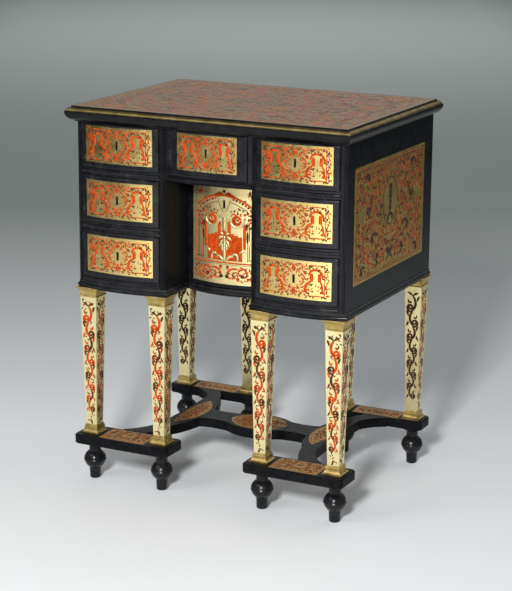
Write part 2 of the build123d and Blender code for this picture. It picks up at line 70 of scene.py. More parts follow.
def modify(obj, kind, **settings):
    """Add a modifier, set it, and apply it straight away."""
    pick(obj)
    bpy.ops.object.modifier_add(type=kind)
    modifier = obj.modifiers[-1]
    for name, value in settings.items():
        setattr(modifier, name, value)
    bpy.ops.object.modifier_apply(modifier=modifier.name)


def triangles(obj):
    """How many triangles the mesh of an object makes."""
    return sum(len(face.vertices) - 2 for face in obj.data.polygons)


# %% [markdown]
# ## Camera
# A long lens, a little above the top and to the right of the middle, shows the front, the
# right side and the top at once, and keeps the legs close to parallel.

# %% Camera
CAMERA_TURN = radians(26.74)
CAMERA_RISE = radians(14.34)
CAMERA_ROLL = radians(0.44)
CAMERA_FAR = 3.9263
CAMERA_AIM = Vector((-0.0018, 0.0058, 0.3779))
LENS = 116.0

behind = Vector((
    sin(CAMERA_TURN) * cos(CAMERA_RISE),
    -cos(CAMERA_TURN) * cos(CAMERA_RISE),
    sin(CAMERA_RISE),
))
level = Vector((cos(CAMERA_TURN), sin(CAMERA_TURN), 0))
upright = behind.cross(level)
right = cos(CAMERA_ROLL) * level + sin(CAMERA_ROLL) * upright
above = behind.cross(right)
bpy.ops.object.camera_add()
camera = bpy.context.object
camera.name = "camera"
camera.data.lens = LENS
turned_to = Matrix((right, above, behind)).transposed().to_4x4()
camera.matrix_world = Matrix.Translation(CAMERA_AIM + behind * CAMERA_FAR) @ turned_to
bpy.context.scene.camera = camera
print("camera at", [round(c, 3) for c in camera.matrix_world.translation])

# %% [markdown]
# ## Floor and light
# Brass is a mirror with a colour: its look is what it reflects. A pale floor, bright where the
# lamps reach it, has painted shade in its colour: grey behind the desk, and dark far to both
# sides. This gives the front of the desk cream and the side olive. The key lamp stands in front,
# a little to the right, and throws the shadow to the back. A weak lamp on the left and one behind
# fill in. Two lamps hang face down over the floor: the near one brightens what the right ends of
# the bowed fronts mirror, and the far one what the top mirrors.

# %% Floor
FLOOR_SIZE = 60
PAPER_PALE = (0.93, 0.945, 0.96, 1)
# painted shade on the floor: grey behind the desk, dark far to both sides
PAINTED_SHADE_GREY = (0.36, 0.40, 0.38, 1)
PAINTED_SIDE_SHADE = (0.10, 0.11, 0.11, 1)
GREYS_OVER = (0.2, 2.7)
DARKENS_OVER = (1.5, 3.1)


def fade(tree, distance, span, colour):
    """A mix node that turns to that colour while the distance runs through the span."""
    share = tree.nodes.new("ShaderNodeMapRange")
    share.inputs["From Min"].default_value, share.inputs["From Max"].default_value = span
    tree.links.new(distance, share.inputs["Value"])
    mix = tree.nodes.new("ShaderNodeMix")
    mix.data_type = "RGBA"
    mix.inputs["B"].default_value = colour
    tree.links.new(share.outputs[0], mix.inputs["Factor"])
    return mix


bpy.ops.mesh.primitive_plane_add(size=FLOOR_SIZE)
floor = bpy.context.object
floor.name = "floor"
paper = bpy.data.materials.new("floor_paper")
paper.use_nodes = True
tree = paper.node_tree
shader = tree.nodes["Principled BSDF"]
shader.inputs["Roughness"].default_value = 0.9

# distances behind and beside the desk, as the camera looks at it
place = tree.nodes.new("ShaderNodeTexCoord")
turned = tree.nodes.new("ShaderNodeMapping")
turned.inputs["Rotation"].default_value = (0, 0, -CAMERA_TURN)
apart = tree.nodes.new("ShaderNodeSeparateXYZ")
aside = tree.nodes.new("ShaderNodeMath")
aside.operation = "ABSOLUTE"
tree.links.new(place.outputs["Object"], turned.inputs["Vector"])
tree.links.new(turned.outputs[0], apart.inputs[0])
tree.links.new(apart.outputs["X"], aside.inputs[0])

# painted shade: grey behind the desk, and dark far to both sides for the bowed fronts to mirror
painted_grey_falloff = fade(tree, apart.outputs["Y"], GREYS_OVER, PAINTED_SHADE_GREY)
painted_grey_falloff.inputs["A"].default_value = PAPER_PALE
painted_dark_sides = fade(tree, aside.outputs[0], DARKENS_OVER, PAINTED_SIDE_SHADE)
tree.links.new(painted_grey_falloff.outputs["Result"], painted_dark_sides.inputs["A"])
tree.links.new(painted_dark_sides.outputs["Result"], shader.inputs["Base Color"])
floor.data.materials.append(paper)

# %% Lamps
LAMPS_FACE = Vector((0, 0, 0.45))
SKY_COLOUR = (0.93, 0.97, 1.0, 1)
SKY_STRENGTH = 0.22


def floor_lamp(name, place, size, power):
    """A square soft lamp that hangs face down."""
    bpy.ops.object.light_add(type="AREA", location=place)
    light = bpy.context.object
    light.name = name
    light.data.shape = "SQUARE"
    light.data.size = size
    light.data.energy = power
    return light


def lamp(name, turn, rise, far, size, power):
    """The same lamp, placed by its direction from the desk and turned to face it."""
    turn, rise = radians(turn), radians(rise)
    ray = Vector((sin(turn) * cos(rise), -cos(turn) * cos(rise), sin(rise)))
    light = floor_lamp(name, LAMPS_FACE + ray * far, size, power)
    light.rotation_euler = ray.to_track_quat("Z", "Y").to_euler()


lamp("key_lamp", 15, 25, 4.4, 0.58, 164)
lamp("left_lamp", -28, 36, 3.2, 1.2, 14)
lamp("back_lamp", 150, 38, 3.2, 1.2, 9)
floor_lamp("near_floor_lamp", (0.35, -2.6, 0.8), 0.5, 13)
floor_lamp("far_floor_lamp", (-3.6, 7.4, 3.4), 4.0, 105)

world = bpy.data.worlds.new("studio")
bpy.context.scene.world = world
world.use_nodes = True
tree = world.node_tree
tree.nodes.clear()
sky = tree.nodes.new("ShaderNodeBackground")
sky.inputs["Color"].default_value = SKY_COLOUR
sky.inputs["Strength"].default_value = SKY_STRENGTH
output = tree.nodes.new("ShaderNodeOutputWorld")
tree.links.new(sky.outputs[0], output.inputs["Surface"])
bpy.context.scene.view_settings.view_transform = "Standard"

# %% [markdown]
# ## Finishes
# Every finish is a principled shader whose colour and roughness wander a little, as hand-made
# surfaces do. The wander is noise on Object coordinates, so it stays on the piece.

# %% A finish with wandering colour
NOISE_DETAIL = 5
NOISE_ROUGHNESS = 0.62
NOISE_SPAN = (0.3, 0.7)
RELIEF_SCALE = 400
RELIEF_DETAIL = 3
RELIEF_DEPTH = 0.0004


def finish(name, colours, scale, roughness, stretch=(1, 1, 1), bump=0.0, **sockets):
    """A material. 'colours' are (place, colour) stops over noise of that scale per metre,
    'roughness' is its lowest and highest, and 'sockets' are plain values on the shader."""
    material = bpy.data.materials.new(name)
    material.use_nodes = True
    tree = material.node_tree
    shader = tree.nodes["Principled BSDF"]
    for socket, value in sockets.items():
        shader.inputs[socket.replace("_", " ")].default_value = value
    place = tree.nodes.new("ShaderNodeTexCoord")
    mapping = tree.nodes.new("ShaderNodeMapping")
    mapping.inputs["Scale"].default_value = stretch
    tree.links.new(place.outputs["Object"], mapping.inputs["Vector"])
    noise = tree.nodes.new("ShaderNodeTexNoise")
    noise.inputs["Scale"].default_value = scale
    noise.inputs["Detail"].default_value = NOISE_DETAIL
    noise.inputs["Roughness"].default_value = NOISE_ROUGHNESS
    tree.links.new(mapping.outputs[0], noise.inputs["Vector"])
    ramp = tree.nodes.new("ShaderNodeValToRGB")
    stops = ramp.color_ramp.elements
    while len(stops) < len(colours):
        stops.new(0.5)
    for stop, (at, colour) in zip(stops, colours):
        stop.position = at
        stop.color = (*colour, 1)
    tree.links.new(noise.outputs["Fac"], ramp.inputs["Fac"])
    tree.links.new(ramp.outputs["Color"], shader.inputs["Base Color"])
    rough = tree.nodes.new("ShaderNodeMapRange")
    rough.inputs["From Min"].default_value, rough.inputs["From Max"].default_value = NOISE_SPAN
    rough.inputs["To Min"].default_value, rough.inputs["To Max"].default_value = roughness
    tree.links.new(noise.outputs["Fac"], rough.inputs["Value"])
    tree.links.new(rough.outputs[0], shader.inputs["Roughness"])
    if bump:
        fine = tree.nodes.new("ShaderNodeTexNoise")
        fine.inputs["Scale"].default_value = RELIEF_SCALE
        fine.inputs["Detail"].default_value = RELIEF_DETAIL
        tree.links.new(mapping.outputs[0], fine.inputs["Vector"])
        relief = tree.nodes.new("ShaderNodeBump")
        relief.inputs["Strength"].default_value = bump
        relief.inputs["Distance"].default_value = RELIEF_DEPTH
        tree.links.new(fine.outputs["Fac"], relief.inputs["Height"])
        tree.links.new(relief.outputs[0], shader.inputs["Normal"])
    return material


# %% The desk's finishes
GRAIN_BACK = (1, 0.08, 1)
BLACK = [(0.3, (0.004, 0.0045, 0.0055)), (0.7, (0.012, 0.012, 0.013))]
ebony = finish("ebonised_wood", BLACK, 60, (0.14, 0.30), bump=0.04, Specular_IOR_Level=0.13)
# lighter patches for front-facing parts: partly wear, partly painted sheen where these faces catch the lamps
WORN_AND_SHEEN = [(0.35, (0.005, 0.0055, 0.007)), (0.62, (0.014, 0.014, 0.015)), (0.80, (0.055, 0.055, 0.055))]
worn_and_sheen_ebony = finish("worn_and_sheen_ebony", WORN_AND_SHEEN, 45, (0.12, 0.34), bump=0.08, Specular_IOR_Level=0.24)
dull_ebony = finish("ebonised_stretchers", BLACK, 60, (0.30, 0.45), bump=0.04, Specular_IOR_Level=0.04)
oak = finish(
    "oak",
    [(0.3, (0.20, 0.11, 0.05)), (0.7, (0.40, 0.26, 0.13))],
    90, (0.5, 0.7), stretch=GRAIN_BACK, bump=0.3,
)
gilt = finish(
    "gilt_brass",
    [(0.3, (0.42, 0.29, 0.08)), (0.7, (0.70, 0.53, 0.21))],
    70, (0.34, 0.50), bump=0.12, Metallic=1.0,
)
band_brass = finish(
    "rubbed_brass_band",
    [(0.3, (0.14, 0.10, 0.035)), (0.7, (0.34, 0.26, 0.11))],
    50, (0.34, 0.50), bump=0.12, Metallic=1.0,
)
plate_brass = finish(
    "brass_sheet_front",
    [(0.25, (0.68, 0.48, 0.13)), (0.75, (0.92, 0.72, 0.31))],
    45, (0.18, 0.32), bump=0.08, Metallic=0.97,
)
door_brass = finish(
    "brass_sheet_door",
    [(0.25, (0.66, 0.52, 0.21)), (0.75, (0.84, 0.72, 0.38))],
    45, (0.24, 0.38), bump=0.08, Metallic=0.75,
)
leg_brass = finish(
    "brass_sheet_legs",
    [(0.25, (0.82, 0.70, 0.33)), (0.75, (0.94, 0.86, 0.48))],
    45, (0.26, 0.42), bump=0.1, Metallic=0.85,
)
# painted shade: the side panels' brass is coloured darker, as these faces turn away from the lamps
shaded_side_brass = finish(
    "brass_sheet_side_painted_shade",
    [(0.25, (0.38, 0.265, 0.05)), (0.75, (0.65, 0.495, 0.12))],
    40, (0.3, 0.46), bump=0.1, Metallic=0.9,
)
# the top's brass is dark and mostly unmetallic: partly wear, partly a painted reflection of grey
top_brass = finish(
    "brass_sheet_top",
    [(0.25, (0.20, 0.142, 0.058)), (0.75, (0.33, 0.24, 0.11))],
    30, (0.40, 0.55), bump=0.1, Metallic=0.35, Specular_IOR_Level=0.25,
)
stretcher_brass = finish(
    "brass_sheet_stretchers",
    [(0.25, (0.26, 0.14, 0.03)), (0.75, (0.44, 0.27, 0.06))],
    40, (0.3, 0.46), bump=0.1, Metallic=0.15, Specular_IOR_Level=0.08,
)
AMBER = [(0.3, (0.10, 0.020, 0.005)), (0.7, (0.42, 0.10, 0.014))]
amber_shell = finish("amber_tortoiseshell", AMBER, 45, (0.34, 0.48), Specular_IOR_Level=0.08)
UMBER = [(0.3, (0.045, 0.014, 0.006)), (0.7, (0.16, 0.045, 0.014))]
umber_shell = finish("umber_tortoiseshell", UMBER, 90, (0.30, 0.45), Specular_IOR_Level=0.08)
RED = [(0.30, (0.24, 0.014, 0.003)), (0.42, (0.50, 0.048, 0.004)), (0.75, (0.64, 0.105, 0.008))]
red_shell = finish("red_tortoiseshell", RED, 110, (0.34, 0.46), Specular_IOR_Level=0.10)
DULL_RED = [(0.3, (0.28, 0.075, 0.03)), (0.7, (0.52, 0.145, 0.05))]
dull_shell = finish("worn_tortoiseshell", DULL_RED, 60, (0.34, 0.48), Specular_IOR_Level=0.3)
BROWN_RED = [(0.3, (0.10, 0.018, 0.008)), (0.7, (0.42, 0.085, 0.022))]
brown_shell = finish("brown_tortoiseshell", BROWN_RED, 80, (0.34, 0.46), Specular_IOR_Level=0.12)
RUST = [(0.3, (0.16, 0.03, 0.008)), (0.7, (0.52, 0.13, 0.03))]
rust_shell = finish("rust_tortoiseshell", RUST, 60, (0.34, 0.46), Specular_IOR_Level=0.10)
DARK = [(0.3, (0.024, 0.009, 0.006)), (0.7, (0.085, 0.028, 0.016))]
dark_shell = finish("dark_tortoiseshell", DARK, 110, (0.30, 0.44), Specular_IOR_Level=0.15)
# the top's dark shell is greyed lighter: partly wear, partly a painted reflection of grey
WORN_AND_GREYED_DARK = [(0.3, (0.10, 0.07, 0.045)), (0.7, (0.19, 0.13, 0.085))]
top_dark_shell = finish("rubbed_and_greyed_dark_tortoiseshell", WORN_AND_GREYED_DARK, 60, (0.34, 0.48), Specular_IOR_Level=0.3)
GREY = [(0.3, (0.012, 0.011, 0.010)), (0.7, (0.05, 0.045, 0.04))]
# dark iron for the locks, also put on the keyhole walls as painted shade
iron_and_hole_shade = finish("lock_iron_and_keyhole_shade", GREY, 120, (0.4, 0.6), Metallic=0.6)
FINISHES = {
    "ebonised_wood": ebony,
    "oak": oak,
    "gilt_brass": gilt,
    "front_marquetry": plate_brass,
    "side_marquetry": shaded_side_brass,
    "top_marquetry": top_brass,
    "stretcher_marquetry": stretcher_brass,
    "leg_marquetry": leg_brass,
}
for part in frame["record"]["subparts"]:
    mesh = nodes[part["node"]].data
    mesh.materials.clear()
    mesh.materials.append(FINISHES[part["material_slot"]])
for node in nodes:
    if node.endswith(("_bar", "_stretcher", "inner_side")):
        nodes[node].data.materials[0] = dull_ebony
    # the front-facing parts and the feet get the lighter ebony: partly wear, partly painted sheen
    if node.endswith(("drawer_front", "_rails", "_stiles", "_boards", "_feet")):
        nodes[node].data.materials[0] = worn_and_sheen_ebony
nodes["top_brass_band"].data.materials[0] = band_brass
nodes["door_marquetry_and_lock"].data.materials[0] = door_brass
print("the nodes wear", sorted({obj.data.materials[0].name for obj in nodes.values()}))

# %% [markdown]
# ## One line of inlay
# The marquetry maker saws brass and shell together along drawn lines. Each line swells and
# tapers like a pen stroke. Here a stroke is a walk: it starts somewhere with a heading and
# bends on the way, so a few numbers give a leaf, a C or a whole spiral.

# %% Strokes
PETALS = 3
FAN_SPREAD = 130


def sweep(u, v, heading, length, bends, width, tips=(0.35, 0.35), steps=8):
    """Walk a stroke whose bend changes evenly through the given ones. A bend is the turn, in
    degrees, that the stroke would make if it kept that bend over its whole length."""
    heading = radians(heading)
    stroke = []
    for step in range(steps + 1):
        t = step / steps
        taper = tips[0] + (tips[1] - tips[0]) * t
        stroke.append((u, v, width * (taper + (1 - taper) * sin(pi * t) ** 0.7) / 2))
        place = t * (len(bends) - 1)
        low = min(int(place), len(bends) - 2)
        bend = bends[low] + (bends[low + 1] - bends[low]) * (place - low)
        heading += radians(bend) / steps
        u += cos(heading) * length / steps
        v += sin(heading) * length / steps
    return stroke


def leaf(u, v, heading, length, bend, width):
    """A short stroke that ends in a point."""
    return sweep(u, v, heading, length, (bend, bend), width, (0.25, 0.05), 4)


def bud(u, v, size):
    """An upright oval."""
    return [(u, v - size * 0.55, size * 0.2), (u, v - size * 0.2, size * 0.62),
            (u, v + size * 0.2, size * 0.62), (u, v + size * 0.55, size * 0.2)]


def scroll(u, v, heading, size, hand, width):
    """A spiral shoot with a bud in its eye and leaves along its outer side."""
    stem = sweep(u, v, heading, 3.1 * size, (30 * hand, 260 * hand, 950 * hand), width, (0.5, 0.5), 16)
    strokes = [stem, bud(stem[-1][0], stem[-1][1], width)]
    for step in (3, 6, 9):
        (u0, v0, _), (u1, v1, _) = stem[step], stem[step + 1]
        way = Vector((u1 - u0, v1 - v0)).angle_signed(Vector((1, 0)), 0)
        out = way * 180 / pi - hand * 35
        strokes.append(leaf(u0, v0, out, size * 0.46, hand * 70, width * 1.25))
    return strokes


def fan(u, v, heading, size, width):
    """A palmette: petals that open from one point, the longest in the middle."""
    step = FAN_SPREAD / (PETALS - 1)
    strokes = []
    for petal in range(PETALS):
        turn = petal * step - FAN_SPREAD / 2
        reach = size * (1 - 0.3 * abs(turn) / FAN_SPREAD)
        strokes.append(leaf(u, v, heading + turn, reach, turn * 0.8, width))
    return strokes


def mirrored(strokes):
    """The same strokes on both sides of the middle line."""
    return strokes + [[(-u, v, w) for u, v, w in stroke] for stroke in strokes]


def within(strokes, half_u, half_v):
    """The strokes that stay inside a rectangle about the middle."""
    return [
        stroke for stroke in strokes
        if all(abs(u) + half < half_u and abs(v) + half < half_v for u, v, half in stroke)
    ]


def cut_to(half_u, half_v, layers):
    """The layers of a plate of that size, without strokes that would cross its edge."""
    return [(within(strokes, half_u, half_v), shell) for strokes, shell in layers]


def curl(u, v, heading, length, hand, width):
    """A comma: a short stroke with one curled end."""
    return sweep(u, v, heading, length, (60 * hand, 180 * hand, 520 * hand), width, (0.3, 0.6), 7)


def ess(u, v, heading, length, hand, width):
    """An S, curled at both ends. The heading is the way it runs in its middle."""
    half = curl(0, 0, 0, length / 2, hand, width)
    turn = radians(heading)
    spun = [(u + x * cos(turn) - y * sin(turn), v + x * sin(turn) + y * cos(turn), w) for x, y, w in half]
    other = [(2 * u - x, 2 * v - y, w) for x, y, w in spun[1:]]
    thick = [(x, y, max(w, width * 0.42)) for x, y, w in other[:2][::-1] + spun[:2]]
    return other[:1:-1] + thick + spun[2:]


print("a scroll takes", len(scroll(0, 0, 0, 10, 1, 1)), "strokes")

# %% [markdown]
# ## Filling the ground
# Between the main figures the maker leaves no plain ground: small commas, trefoils and buds
# fill every gap. A search tree of all points drawn so far tells how much room there is.

# %% Fillers
GOLDEN_TURN = 137.5
ROOM = 0.40
FILLER_SIZE = 1.2
ROW_STEP = 7
COLUMN_STEP = 3


def filler(u, v, turn, size, kind):
    """The strokes of one small figure: a comma of either hand, a trefoil or a leaf."""
    if kind == 0:
        return [curl(u - size / 3, v, turn, size * 1.5, 1, size * 0.5)]
    if kind == 1:
        return [curl(u, v - size / 3, turn, size * 1.5, -1, size * 0.5)]
    if kind == 2:
        return fan(u, v, turn, size * 0.8, size * 0.44)
    return [leaf(u - size * 0.3, v, turn, size, 60, size * 0.5)]


def fill_gaps(drawn, inside, span_u, span_v, pitch):
    """Small strokes wherever a grid point is inside and has room. Returns two lists, of which
    the second, shorter one is for the darker shell."""
    points = [point for stroke in drawn for point in stroke]
    tree = KDTree(len(points))
    for index, (u, v, half) in enumerate(points):
        tree.insert((u, v, 0), index)
    tree.balance()
    many, few = [], []
    rows = int((span_v[1] - span_v[0]) / pitch)
    columns = int((span_u[1] - span_u[0]) / pitch)
    for row in range(rows + 1):
        for column in range(columns + 1):
            u = span_u[0] + (column + row % 2 / 2) * pitch
            v = span_v[0] + row * pitch
            _, index, far = tree.find((u, v, 0))
            if not inside(u, v) or far - points[index][2] < pitch * ROOM:
                continue
            number = row * ROW_STEP + column * COLUMN_STEP
            strokes = filler(u, v, number * GOLDEN_TURN, pitch * FILLER_SIZE, number % 4)
            (few if number % 3 == 0 else many).extend(strokes)
    return many, few


# %% [markdown]
# ## From strokes to a thin layer
# A curve can carry all the strokes of a layer at once. Each point's radius is the stroke's
# half width. The curve is extruded sideways, turned into a mesh, laid on its seat, and given
# the thickness of veneer. Faces that share one plane shade each other black, so each stroke
# has a height of its own within three hundredths of a millimetre, and climbs a little on its
# way. A bowed plate's mesh has flat facets, so a layer pressed onto it is lifted clear of
# their ridges. Heights here are in millimetres.

# %% Laying a layer
VENEER = 0.30 * MM
SUNK = 0.86
BOW_LIFT = 0.09
SMOOTH = 3
STROKE_RISE = 0.030
STROKE_CLIMB = 0.1
LAYER_RISE = 0.034
GOLDEN_PART = 0.618


def ribbons(name, strokes, material, smooth):
    """All the strokes as one flat mesh in millimetres."""
    bpy.ops.curve.primitive_nurbs_path_add()
    obj = bpy.context.object
    obj.name = name
    curve = obj.data
    curve.splines.clear()
    curve.twist_mode = "Z_UP"
    curve.extrude = 1
    curve.resolution_u = smooth
    for number, stroke in enumerate(strokes):
        spline = curve.splines.new("NURBS")
        spline.points.add(len(stroke) - 1)
        height = STROKE_RISE * (number * GOLDEN_PART % 1)
        for step, (point, (u, v, half)) in enumerate(zip(spline.points, stroke)):
            point.co = (u, v, height + STROKE_RISE * STROKE_CLIMB * step / len(stroke), 1)
            point.radius = half
            point.tilt = -pi / 2
        spline.order_u = 3
        spline.use_endpoint_u = True
    pick(obj)
    bpy.ops.object.convert(target="MESH")
    obj = bpy.context.object
    obj.data.materials.clear()
    obj.data.materials.append(material)
    return obj


def lay(name, layers, seat, body, onto=None, smooth=SMOOTH):
    """Strokes of several finishes as one piece. 'seat' carries a flat point to its place on
    the desk, and 'onto' is a bowed node that the flat layer is pressed onto from the front.
    Where a seat mirrors the drawing, the veneer lies on the surface instead of sunk in it."""
    outward = (seat(1, 0) - seat(0, 0)).cross(seat(0, 1) - seat(0, 0)).normalized()
    pieces = []
    for order, (strokes, material) in enumerate(layers):
        piece = ribbons(name, strokes, material, smooth)
        lift = order * LAYER_RISE + (BOW_LIFT if onto else 0)
        heights = [vertex.co.z + lift for vertex in piece.data.vertices]
        for vertex in piece.data.vertices:
            vertex.co = seat(vertex.co.x, vertex.co.y)
        if onto:
            modify(piece, "SHRINKWRAP", target=nodes[onto], wrap_method="PROJECT", use_project_y=True)
        for vertex, height in zip(piece.data.vertices, heights):
            vertex.co += outward * height * MM
        modify(piece, "SOLIDIFY", thickness=VENEER, offset=SUNK)
        pieces.append(piece)
    pick(*reversed(pieces))
    if len(pieces) > 1:
        bpy.ops.object.join()
    piece = bpy.context.object
    piece.name = name
    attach(piece, body)
    return piece


# %% [markdown]
# ## Drawer fronts
# Each front shows the same drawing, mirrored about its keyhole: a bell over a plain brass
# escutcheon, a canopy on two pillars to each side, and small scrolls between.

# %% The drawing of a drawer front
DRAWER_HALF_U = 71
DRAWER_HALF_V = 33.5
DRAWER_PLATE_U = 74.2
DRAWER_PLATE_V = 35.2
KEY_V = 1.0
SHIELD_U = 13.5
SHIELD_V = 14.5
CANOPY_U = 44.5
FILL_PITCH = 3.9


def key_side(key_v):
    """The blackened edge beside the slot of a keyhole."""
    return sweep(2.05, key_v + 4.8, -90, 13.4, (0, 0), 0.9, (1, 1), 4)


def key_rim(key_v):
    """The blackened edge about its round head."""
    return sweep(1.85, key_v + 4.8, 50, 11.0, (260, 260), 0.9, (1, 1), 10)


def drawer_red():
    right_half = [
        # a canopy on two pillars, with a C and an S below it
        sweep(30.5, 10.5, 86, 45, (-182, -182), 4.6, (0.7, 0.7), 12),
        sweep(36.5, 14.5, -90, 16, (0, 0), 7.4, (0.7, 0.9), 5),
        sweep(52.2, 14.5, -90, 16, (0, 0), 6.8, (0.7, 0.9), 5),
        sweep(35.5, -1, -155, 33, (40, 140, 300), 5.4, (0.7, 0.5), 12),
        sweep(53.5, -1, -40, 28, (-150, 0, 250), 4.2, (0.6, 0.5), 12),
        bud(56, -22, 5.0),
        # the corner of the frame
        sweep(31, 30, 0, 32, (0, 0), 2.2, (0.8, 0.8), 6),
        sweep(62.5, 29, -90, 57, (0, 0), 1.8, (0.9, 0.9), 8),
        sweep(34, -29.5, 0, 29, (0, 0), 2.2, (0.8, 0.8), 6),
        # beside the keyhole
        ess(22, 6, -75, 27, 1, 2.8),
        ess(25.5, -20, -120, 22, -1, 2.8),
        sweep(13, 29, -20, 20, (-60, 200, 300), 2.6, (0.5, 0.5), 9),
        sweep(21.5, -18, -136, 19, (0, 0), 1.8, (0.6, 0.6), 5),
        leaf(9, -20, -70, 8, 60, 3.0),
        leaf(17, 20, -60, 9, 60, 2.8),
        leaf(67, 20, -95, 14, 30, 2.4),
        leaf(67, -2, -90, 13, -30, 2.4),
    ]
    # a wreath of small commas about the escutcheon
    for step in range(-4, 5):
        turn = step * 20
        u, v = 17.0 * cos(radians(turn)), KEY_V + 18.0 * sin(radians(turn))
        right_half.append(curl(u, v, turn + 120, 7, 1 if step % 2 else -1, 2.0))
    middle = [
        sweep(0, 29.5, -90, 13, (0, 0), 8.5, (0.2, 0.6), 5),
        sweep(0, -15, -90, 15, (0, 0), 8.5, (0.3, 0.5), 5),
    ]
    return mirrored(right_half) + middle


def drawer_dark():
    right_half = [
        sweep(67, 28, -60, 11, (-200, 260), 2.4),
        sweep(67.5, 10, 160, 8, (200, 240), 2.2),
        sweep(67, -14, 200, 10, (-240, 160), 2.4),
        bud(14, 23, 2.6),
        bud(28, 23, 2.8),
        bud(28.5, 4, 2.4),
        bud(31, -25, 2.8),
        bud(15, -27, 2.4),
        leaf(CANOPY_U + 0.5, -6, -88, 6, 0, 1.5),
        key_side(KEY_V),
    ]
    return mirrored(right_half) + [key_rim(KEY_V)]


def in_drawer_ground(u, v):
    """The ground of a front outside its escutcheon, its canopies and the pale chevron."""
    u = abs(u)
    shield = (u / SHIELD_U) ** 2 + ((v - KEY_V) / SHIELD_V) ** 2 < 1
    dome = ((u - CANOPY_U) / 10) ** 2 + ((v - 17.5) / 7.5) ** 2 < 1
    skirt = abs(u - CANOPY_U) < 3 + max(0, -v) * 0.25 and -27 < v < 14
    chevron = abs(u - 3 - (v + 31) * 0.94) < 3.4 and -32 < v < -13
    return u < DRAWER_HALF_U and abs(v) < DRAWER_HALF_V and not (shield or dome or skirt or chevron)


# %% Laid on the seven fronts
DRAWERS = [s + "_" + row + "_drawer" for s in ("left", "right") for row in ("bottom", "middle", "top")]
DRAWERS.append("centre_drawer")
PLATE_WIDE = 150 * MM
IN_FRONT = 5 * MM
PLATE_HALF_HIGH = {d + "_marquetry_and_lock": 37.5 * MM for d in DRAWERS}
for side in ("left", "right"):
    PLATE_HALF_HIGH[side + "_top_drawer_marquetry_and_lock"] = 36.2 * MM
PLATE_HALF_HIGH["centre_drawer_marquetry_and_lock"] = 35.95 * MM
PLATE_HALF_HIGH["door_marquetry_and_lock"] = 98.25 * MM

red_lines, dark_lines = drawer_red(), drawer_dark()
more_red, more_dark = fill_gaps(
    red_lines + dark_lines, in_drawer_ground, (FILL_PITCH / 2, DRAWER_HALF_U), (-32, 32), FILL_PITCH
)
drawer_layers = cut_to(DRAWER_PLATE_U, DRAWER_PLATE_V, [
    (red_lines + mirrored(more_red[::2]), red_shell),
    (mirrored(more_red[1::2] + more_dark[::2]), brown_shell),
    (dark_lines + mirrored(more_dark[1::2]), dark_shell),
])


def plate_middle(node):
    """The middle of a plate, x and z. The lock reaches above its plate, so z is counted from
    the lower edge."""
    low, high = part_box(node)
    return (low.x + high.x) / 2, low.z + PLATE_HALF_HIGH[node]


def lay_drawer(drawer):
    """The drawing on one front. The central front is narrower, so it is squeezed there."""
    node = drawer + "_marquetry_and_lock"
    low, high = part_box(node)
    middle, centre_z = plate_middle(node)
    squeeze = (high.x - low.x) / PLATE_WIDE

    def seat(u, v):
        return Vector((middle + u * MM * squeeze, low.y - IN_FRONT, centre_z + v * MM))

    return lay(drawer + "_inlay", drawer_layers, seat, drawer, node)


for drawer in DRAWERS:
    piece = lay_drawer(drawer)
print("a drawer's inlay has", triangles(piece), "triangles")

# %% [markdown]
# ## The locks
# A lock shares its mesh with the plate in front of it. Iron goes on the faces of the lock, and
# the same dark iron on the walls of the keyhole as painted shade in the hole. Both are found by
# their place: near the middle, and for the lock well behind the front of the bow.

# %% Iron locks
LOCK_HALF = 22.5 * MM
LOCK_BEHIND = 12 * MM
KEYHOLE_HALF = 3 * MM
PLATE_EDGE = 4 * MM
SIDEWAYS = 0.5

for body in DRAWERS + ["door"]:
    node = body + "_marquetry_and_lock"
    low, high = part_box(node)
    middle, centre_z = plate_middle(node)
    mesh = nodes[node].data
    mesh.materials.append(iron_and_hole_shade)
    for face in mesh.polygons:
        aside = abs(face.center.x - middle)
        lock = aside < LOCK_HALF and face.center.y > low.y + LOCK_BEHIND
        inside = low.z + PLATE_EDGE < face.center.z < high.z - PLATE_EDGE
        # the keyhole's walls get the dark iron as painted shade inside the hole
        keyhole_wall_shade = inside and aside < KEYHOLE_HALF and abs(face.normal.y) < SIDEWAYS
        if lock or keyhole_wall_shade:
            face.material_index = 1

# %% [markdown]
# ## The cupboard door
# The door's drawing is a small stage: an arch on two pilasters, two rosettes under it, and a
# red field with a pale acanthus that grows from a base line, over a band of scrolls. The
# acanthus is brass laid over the red.

# %% The drawing of the door
ARCH_R = 91.9
ARCH_HALF_TURN = 43.3
ARCH_V = -8.6
ARCH_GAP = 14
DOOR_KEY_V = 63.25
FIELD_LOW = -50
FIELD_STRIP = 4.2
FIELD_STRIPS = 9
BEAD_TURN = 4.6
BEADS_OUT = 9
ROUNDEL = (27, 33)
ROUNDEL_CLEAR = 20
DOOR_PITCH = 4.8
DOOR_PLATE_U = 77.5
DOOR_PLATE_V = 97.5


def arch(radius, half_turn, width):
    """An arc about the arch's own centre, walked from left to right."""
    turn = radians(half_turn)
    length = 2 * turn * radius
    start = (-radius * sin(turn), ARCH_V + radius * cos(turn))
    return sweep(*start, half_turn, length, (-2 * half_turn, -2 * half_turn), width, (0.8, 0.8), 24)


def ring(u, v, radius, width):
    """A closed round line."""
    return sweep(u + radius, v, 90, 2 * pi * radius, (360, 360), width, (0.95, 0.95), 18)


def arch_beads(offset):
    """Every other bead between the arch's lines. The crown of the arch has none."""
    radius = ARCH_R - ARCH_GAP / 2
    beads = []
    for step in range(-BEADS_OUT + offset, BEADS_OUT + 1, 2):
        turn = radians(step * BEAD_TURN)
        if abs(step) > 2:
            beads.append(bud(radius * sin(turn), ARCH_V + radius * cos(turn), 4.4))
    return beads


